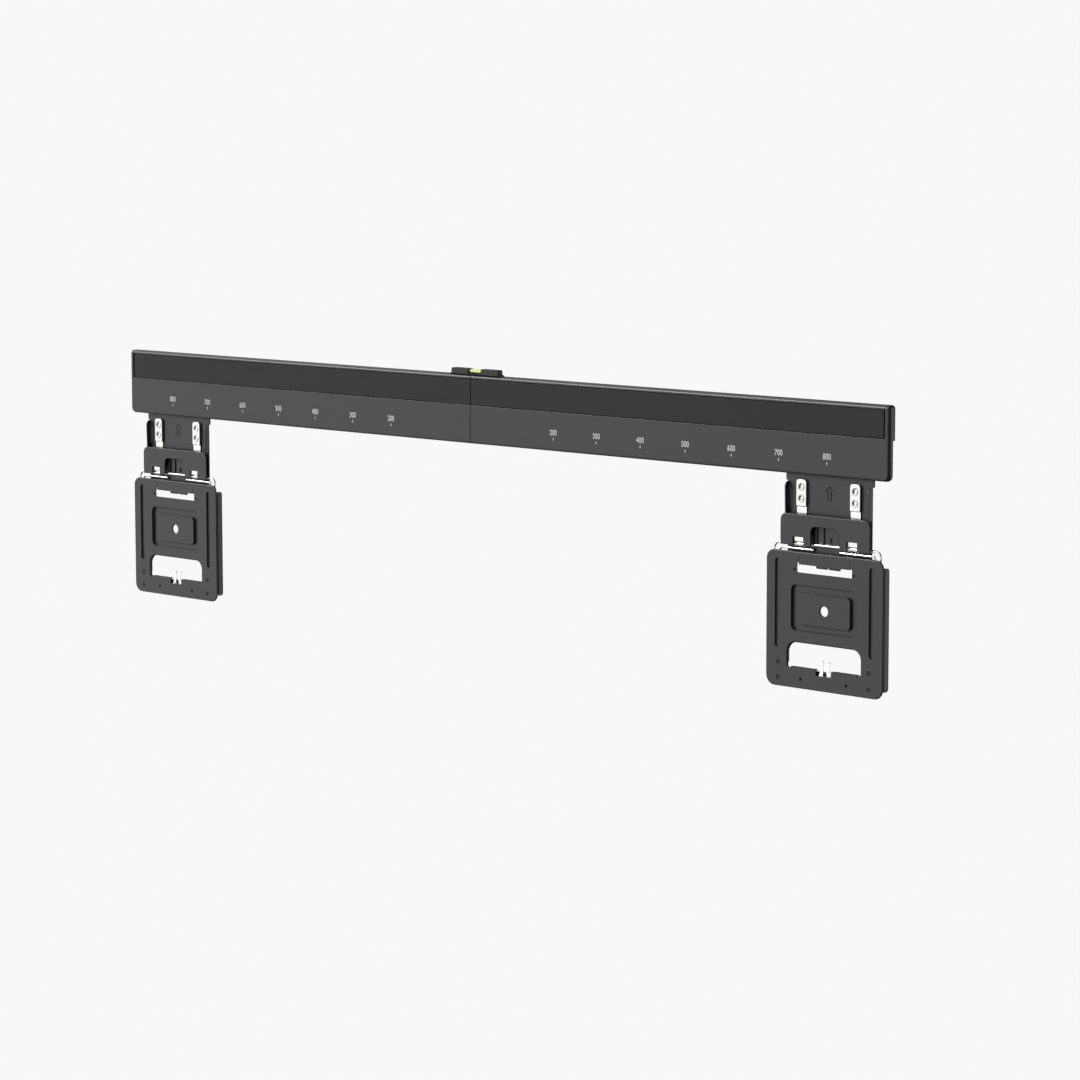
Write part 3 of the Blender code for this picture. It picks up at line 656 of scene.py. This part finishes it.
def plate_cuts():
    """Every hole and hollow of the plate."""
    front, back = PLATE_FRONT, PLATE_BACK
    y0, y1 = front - 1, back + 1
    past_moat = back + MOAT_BACK + 0.2
    bolt = ((BOLT_RADIUS + BOLT_CHAMFER + 1, y0), (BOLT_RADIUS, front + BOLT_CHAMFER),
            (BOLT_RADIUS, y1))
    peep = ((PEEP_RADII[0], y0), (PEEP_RADII[0], front), (PEEP_RADII[1], back - PEEP_FLOOR))
    dimple = tuple(zip(DIMPLE_RADII, (y0, front, front + DIMPLE_DEPTH)))
    moat = pressing(PANEL, PANEL_RADIUS, front, front + MOAT_DEPTH)
    cuts = [
        pressing(ISLAND, ISLAND_RADIUS, back + MOAT_BACK, back, ISLAND_PLAY),
        combine(moat, cut=[plate_island()]),
        rolled_window(),
        box(-CLIP_NOTCH[0], CLIP_NOTCH[0], y0, y1 + 1, WINDOW[2] - CLIP_NOTCH[1], WINDOW[2] + 1),
        slab(rounded(*SLOT, SLOT_RADIUS, SLOT_RADIUS, 3), y0, past_moat),
        turned(0, BOLT_Z, bolt),
    ]
    for side in (-1, 1):
        relief_u, relief_drop, relief_radius = CORNER_RELIEF
        pin_x = sorted((side * (EAR[0] - 1), side * (EAR[1] + 1)))
        cuts += [
            pin_hole(*PIN_YZ, PIN_HOLE, *pin_x),
            pressing(bead_limits(side), BEAD_RADIUS, front, front + BEAD_DEPTH),
            turned(side * PEEP[0], PEEP[1], peep, 20),
            side_box(side, *NOTCH, y0, past_moat, SLOT[3] - 1, SLOT[3] + NOTCH_RISE),
            turned(side * DIMPLE[0], DIMPLE[1], dimple, 18),
            side_box(side, *NICK[:2], y0, front + NICK_DEPTH, *NICK[2:]),
            slab(disc(side * relief_u, WINDOW[2] - relief_drop, relief_radius, 16), y0, y1 + 2),
        ]
        cuts += [slab(disc(side * STUD_U, z, STUD_RADIUS, 20), y0, y1) for z in STUD_Z]
        u = side * STUD_U
        cuts += [slab(rounded(u - STUD_MARK, u + STUD_MARK, z - STUD_MARK, z + STUD_MARK, 0, 0),
                      y0, front + STUD_MARK_DEPTH) for z in STUD_Z]
    return cuts


def tv_plate_shape():
    return combine(rolled_plate(), add=plate_additions(), cut=plate_cuts())


# -------------------------------------------------------------- other bracket pieces
ARROW_TIP = -53.0              # z of the tip, of the head's foot and of the shaft's end
ARROW_NECK = -57.8
ARROW_END = -64.8
ARROW_BARB = 4.4               # half width of the head and of the shaft
ARROW_SHAFT = 1.9
ARROW_LINE = 0.55
ARROW_DEPTH = 0.35
ARROW_TIP_LEAN = 1.5           # how much further than the line's width the slanted corners
ARROW_BARB_LEAN = 2.2          # of the arrow's head move in
HANGER_FLOOR = -1.8            # front of the hanger plate's floor


def arrow_outline(inset):
    """Up-arrow, drawn in by inset all round."""
    tip = ARROW_TIP - ARROW_TIP_LEAN * inset
    barb = ARROW_BARB - ARROW_BARB_LEAN * inset
    shaft = ARROW_SHAFT - inset
    neck, end = ARROW_NECK + inset, ARROW_END + inset
    return [(0, tip), (barb, neck), (shaft, neck), (shaft, end), (-shaft, end), (-shaft, neck),
            (-barb, neck)]


FLANGE_INSIDE = 41.6
FLANGE_FILLET = ((-76.8, 0.1), (-70.3, 3.5), (-59.2, 3.5), (-52.8, 0.1))   # height, radius
FILLET_SINK = 0.3              # how far the fillet reaches into the steel it joins


def flange_fillet(side):
    """Hollow fillet in the bend between the hanger's floor and a side flange."""
    corner = side * FLANGE_INSIDE
    rings = []
    for z, radius in FLANGE_FILLET:
        outline = [(corner + side * FILLET_SINK, HANGER_FLOOR + FILLET_SINK),
                   (corner + side * FILLET_SINK, HANGER_FLOOR - radius)]
        for turn in quarter(6):
            outline.append((corner - side * radius * (1 - math.cos(turn)),
                            HANGER_FLOOR - radius * (1 - math.sin(turn))))
        outline.append((corner - side * radius, HANGER_FLOOR + FILLET_SINK))
        rings.append([(x, y, z) for x, y in outline])
    return loft(rings)


def hanger_shape():
    """The CAD hanger plate with bend fillets and a stamped arrow on its floor."""
    shape = cad_shape("hanger_plate_right")
    shape.data.transform(Matrix.Translation((-BRACKET_X["right"] * MM, 0, 0)))
    top = HANGER_FLOOR - 1
    bottom = HANGER_FLOOR + ARROW_DEPTH
    ring = combine(slab(arrow_outline(0), top, bottom),
                   cut=[slab(arrow_outline(ARROW_LINE), top - 1, bottom + 1)])
    return combine(shape, add=[flange_fillet(-1), flange_fillet(1)], cut=[ring])


RIVET_RING = 0.45              # width of the flat ring on a rivet's head
RIVET_CHAMFER = 0.2
RIVET_HEAD = 1.0
RIVET_LENGTH = 2.0
RIVET_SHANK = 0.66             # share of the head's radius
RIVET_HOLLOW = 1.1
RIVET_FOOT = 1.45              # radius at the bottom of the hollow
RIVET_DOME = (0.9, 0.35)       # share of that radius, and height


def rivet_shape(x, z, radius, front):
    """Hollow rivet: a flat ring, a cone down into it and a low dome at the bottom."""
    deep = front + RIVET_HOLLOW
    share, rise = RIVET_DOME
    turns = [math.radians(a) for a in (10, 35, 60, 80)]
    dome = [(RIVET_FOOT * share * math.cos(t), deep - rise * math.sin(t)) for t in turns]
    shank = radius * RIVET_SHANK
    return turned(x, z, [(shank, front + RIVET_LENGTH), (shank, front + RIVET_HEAD),
                         (radius, front + RIVET_HEAD), (radius, front + RIVET_CHAMFER),
                         (radius - RIVET_CHAMFER, front), (radius - RIVET_RING, front),
                         (RIVET_FOOT, deep), *dome])


def arc_path(corners):
    """Path through (point, radius) corners, each rounded by a circular arc."""
    path = [Vector(corners[0][0])]
    for (before, _), (corner, radius), (after, _) in zip(corners, corners[1:], corners[2:]):
        before, corner, after = Vector(before), Vector(corner), Vector(after)
        into, out = (corner - before).normalized(), (after - corner).normalized()
        start, end = corner - into * radius, corner + out * radius
        centre = start + out * radius
        for turn in quarter(8):
            path.append(centre - out * radius * math.cos(turn) + into * radius * math.sin(turn))
        path[-1] = end
    path.append(Vector(corners[-1][0]))
    return path


WIRE_LOW, WIRE_HIGH = box_mm("wire_bail_right")
WIRE_RADIUS = (WIRE_HIGH.y - WIRE_LOW.y) / 2
WIRE_INNER = 6.0               # from an outer leg in to the returning one
WIRE_END = (13.5, -103.9)      # where the wire's two returned ends stop
WIRE_BENDS = (5.5, 2.95, 2.95, 2.0)        # bend radii from the top bar on


def wire_shape():
    """The bent wire: top bar, two U-shaped legs and ends along the plate's top."""
    y = (WIRE_LOW.y + WIRE_HIGH.y) / 2
    outer = (WIRE_HIGH.x - WIRE_LOW.x) / 2 - WIRE_RADIUS
    inner = outer - WIRE_INNER
    top, foot = WIRE_HIGH.z - WIRE_RADIUS, WIRE_LOW.z + WIRE_RADIUS
    end, end_z = WIRE_END
    places = ((outer, top), (outer, foot), (inner, foot), (inner, end_z), (end, end_z))
    half = list(zip(places, (*WIRE_BENDS, 0)))
    corners = [((-u, y, z), radius) for (u, z), radius in half[::-1]]
    corners += [((u, y, z), radius) for (u, z), radius in half]
    return swept(arc_path(corners), WIRE_RADIUS)


CLIP_LOW, CLIP_HIGH = box_mm("spring_clip_right")
PRONG = (1.5, 5.2)             # inner and outer side of a prong
PRONG_FOOT = -203.0
PRONG_FLARE = (1.7, 4.5)       # how far the foot spreads, and over which height
PRONG_CURVE = 1.7              # power by which the flare dies out
PRONG_INNER = 0.35             # share of the flare on a prong's inner side
PRONG_TIP = (0.85, 0.7)        # share of the height where the tip narrows, and by how much


def clip_shape():
    """Flat base with two prongs that flare at the foot and narrow at the tip."""
    front, back = CLIP_LOW.y, CLIP_HIGH.y
    width = (CLIP_HIGH.x - CLIP_LOW.x) / 2
    flare, flare_height = PRONG_FLARE
    tip_start, tip_inset = PRONG_TIP
    prongs = []
    for side in (-1, 1):
        outer, inner = [], []
        for i in range(9):
            share = i / 8
            z = PRONG_FOOT + (CLIP_HIGH.z - PRONG_FOOT) * share
            out = flare * max(0.0, 1 - (z - PRONG_FOOT) / flare_height) ** PRONG_CURVE
            tip = tip_inset * max(0.0, share - tip_start) / (1 - tip_start)
            outer.append((side * (PRONG[1] + out - tip), z))
            inner.append((side * (PRONG[0] + PRONG_INNER * out + tip), z))
        prongs.append(slab(outer + inner[::-1], front, back))
    base = box(-width, width, front, back, CLIP_LOW.z, PRONG_FOOT + 0.5)
    return combine(base, add=prongs)


# ------------------------------------------------------------------------ the rail
TICKS = range(100, 401, 50)    # distances from the rail's middle
TICK_Z = (-35.9, -33.7)
TICK_HALF = 0.42
DIGIT_Z = -31.4
DIGIT_SIZE = 6.6
DIGIT_WIDTH = 0.86
DIGIT_BOLD = 0.08              # how far each stroke is thickened
PRINT_THICK = 0.03


def text_mesh(words, x, face):
    """Flat lettering on a plane of constant y, as a mesh."""
    curve = bpy.data.curves.new("text", "FONT")
    curve.body = words
    curve.size = DIGIT_SIZE * MM
    curve.align_x = "CENTER"
    curve.extrude = PRINT_THICK * MM
    curve.offset = DIGIT_BOLD * MM
    source = bpy.data.objects.new("text", curve)
    bpy.context.scene.collection.objects.link(source)
    graph = bpy.context.evaluated_depsgraph_get()
    graph.update()
    mesh = bpy.data.meshes.new_from_object(source.evaluated_get(graph))
    bpy.data.objects.remove(source)
    place = Matrix.Translation((x * MM, face * MM, DIGIT_Z * MM))
    flat = Matrix.Rotation(math.pi / 2, 4, "X") @ Matrix.Diagonal((DIGIT_WIDTH, 1, 1, 1))
    mesh.transform(place @ flat)
    return mesh


def joined_shape(meshes):
    """One object out of several meshes."""
    bm = bmesh.new()
    for mesh in meshes:
        bm.from_mesh(mesh)
    made = bpy.data.meshes.new("shape")
    bm.to_mesh(made)
    bm.free()
    shape = bpy.data.objects.new("shape", made)
    bpy.context.scene.collection.objects.link(shape)
    return shape


def printed_scale(side, sign, materials):
    """Ticks and hole spacings in light paint on one rail half."""
    face = box_mm(f"rail_{side}")[0].y
    meshes = []
    for x in TICKS:
        meshes.append(text_mesh(str(2 * x), sign * x, face))
        tick = box(sign * x - TICK_HALF, sign * x + TICK_HALF, face - PRINT_THICK,
                   face + PRINT_THICK, *TICK_Z)
        meshes.append(tick.data)
        bpy.data.objects.remove(tick)
    shape = joined_shape(meshes)
    stand_for(shape, f"printed_scale_{side}", f"rail_{side}", materials["print"],
              replaces=False)


# --------------------------------------------------------------------------- level
VIAL_DOME = 0.8                # length of a domed end as a share of the tube's radius


def vial_shape():
    """Glass tube with domed ends."""
    low, high = box_mm("level_vial")
    y, z = (low.y + high.y) / 2, (low.z + high.z) / 2
    radius = (high.z - low.z) / 2
    dome = VIAL_DOME * radius
    ends = [(dome * (1 - math.cos(t)), radius * math.sin(t)) for t in quarter(6)[1:]]
    rings = [(low.x + along, r) for along, r in ends]
    rings += [(high.x - along, r) for along, r in ends[::-1]]
    return loft([[(x, *point) for point in disc(y, z, r, 24)] for x, r in rings])


# ------------------------------------------------------------------------ assembly
# Edge radii of the pieces that keep their CAD shape.
RAIL_EDGES = {
    "rail_left": 0.35, "rail_right": 0.35, "rail_joiner": 0.3,
    "cover_strip_left": 0.3, "cover_strip_right": 0.3,
    "level_housing": 0.2, "level_magnet_left": 0.2, "level_magnet_right": 0.2,
}
SCREW_EDGE = 0.3
BRACKET_EDGES = {"bridge_plate": 0.4, "stop_tongue": 0.2, "tongue_rivet": 0.25, "kickstand": 0.15}
PAIRED_EDGES = {
    "clamp_plate": 0.2, "hinge_strap": 0.1, "bail_saddle": 0.3, "spacer": 0.2,
    "kickstand_pin": 0.25,
}
ROLLED = {                     # radius and segments; one segment is a chamfer
    "rail": (2.7, 5), "bridge_plate": (0.7, 4), "clamp_plate": (0.75, 1),
}
RAIL_CORNERS = (5.0, 3.0)      # bottom and top corner radii in the CAD
BRIDGE_CORNER = 5.5
NEAR = 0.1                     # how close to an outline an edge counts as part of it
NEAR_FRONT = 0.05


def is_rolled(kind, node):
    """Test for the edges of a piece's front that are rounder than the rest."""
    low, high = box_mm(node)
    middle = (low.x + high.x) / 2
    half = (high.x - low.x) / 2
    rail_end = max(abs(low.x), abs(high.x))

    def rail_outline(p):
        bottom, top = RAIL_CORNERS
        past_corner = abs(p.x) > rail_end - bottom + NEAR and not low.z + bottom < p.z < high.z - top
        return p.z > high.z - NEAR or p.z < low.z + NEAR or abs(p.x) > rail_end - NEAR or past_corner

    def bridge_outline(p):
        off = abs(p.x - middle)
        corner = off > half - BRIDGE_CORNER - NEAR and p.z > high.z - BRIDGE_CORNER - NEAR
        return off > half - NEAR or p.z > high.z - NEAR or corner

    def clamp_foot(p):
        return p.z < low.z + NEAR

    outline = {"rail": rail_outline, "bridge_plate": bridge_outline,
               "clamp_plate": clamp_foot}[kind]
    return lambda p: p.y < low.y + NEAR_FRONT and outline(p)


def carry_over(node, width, materials):
    """Gives a CAD piece rounded edges and its material."""
    shape = cad_shape(node)
    for kind, (roll, segments) in ROLLED.items():
        if node.startswith(kind) and node != "rail_joiner":
            round_edges(shape, is_rolled(kind, node), roll, segments)
    soften(shape, width)
    stand_for(shape, f"{node}_finish", node, materials[slot_of(node)])


def build_rail(materials):
    for node, width in RAIL_EDGES.items():
        carry_over(node, width, materials)
    for side in SIDES:
        for height in ("upper", "lower"):
            carry_over(f"joiner_screw_{height}_{side}", SCREW_EDGE, materials)
    printed_scale("left", -1, materials)
    printed_scale("right", 1, materials)
    vial = soften(vial_shape(), 0)
    stand_for(vial, "level_vial_finish", "level_vial", materials["vial"])


def build_rivets(side, materials):
    for end in ENDS:
        for height in ("upper", "lower"):
            node = f"strap_rivet_{height}_{end}_{side}"
            low, high = box_mm(node)
            shape = rivet_shape((low.x + high.x) / 2, (low.z + high.z) / 2,
                                (high.x - low.x) / 2, low.y)
            stand_for(soften(shape, 0), f"{node}_finish", node, materials["nickel"])


def build_brackets(materials):
    made = (                   # kind, shape, edge radius, look
        ("tv_plate", tv_plate_shape(), 0, "black_steel"),
        ("hanger_plate", hanger_shape(), 0.35, "black_steel"),
        ("wire_bail", wire_shape(), 0.2, "wire"),
        ("spring_clip", clip_shape(), 0.3, "nickel"),
    )
    for side in SIDES:
        for kind, width in BRACKET_EDGES.items():
            carry_over(f"{kind}_{side}", width, materials)
        for kind, width in PAIRED_EDGES.items():
            for end in ENDS:
                carry_over(f"{kind}_{end}_{side}", width, materials)
        for kind, shape, width, look in made:
            own = soften(shifted(shape, BRACKET_X[side]), width)
            stand_for(own, f"{kind}_{side}_finish", f"{kind}_{side}", materials[look])
        build_rivets(side, materials)
    for _, shape, _, _ in made:
        bpy.data.objects.remove(shape)


def make_floor():
    """A floor as bright as the background, so that no horizon shows."""
    mesh = bpy.data.meshes.new("floor")
    corners = [(x * FLOOR_HALF, y * FLOOR_HALF, FLOOR_Z)
               for x, y in ((-1, -1), (1, -1), (1, 1), (-1, 1))]
    mesh.from_pydata(corners, [], [(0, 1, 2, 3)])
    floor = bpy.data.objects.new("floor", mesh)
    bpy.context.scene.collection.objects.link(floor)
    made, _, shader = new_material("floor_paint", (0.0, 0.0, 0.0), roughness=0.9, specular=0.0)
    shader.inputs["Emission Color"].default_value = WHITE
    shader.inputs["Emission Strength"].default_value = BACKDROP
    mesh.materials.append(made)
    floor.visible_diffuse = False
    floor.visible_glossy = False


make_camera()
make_world()
make_key()
looks = make_materials()
build_rail(looks)
build_brackets(looks)
make_floor()
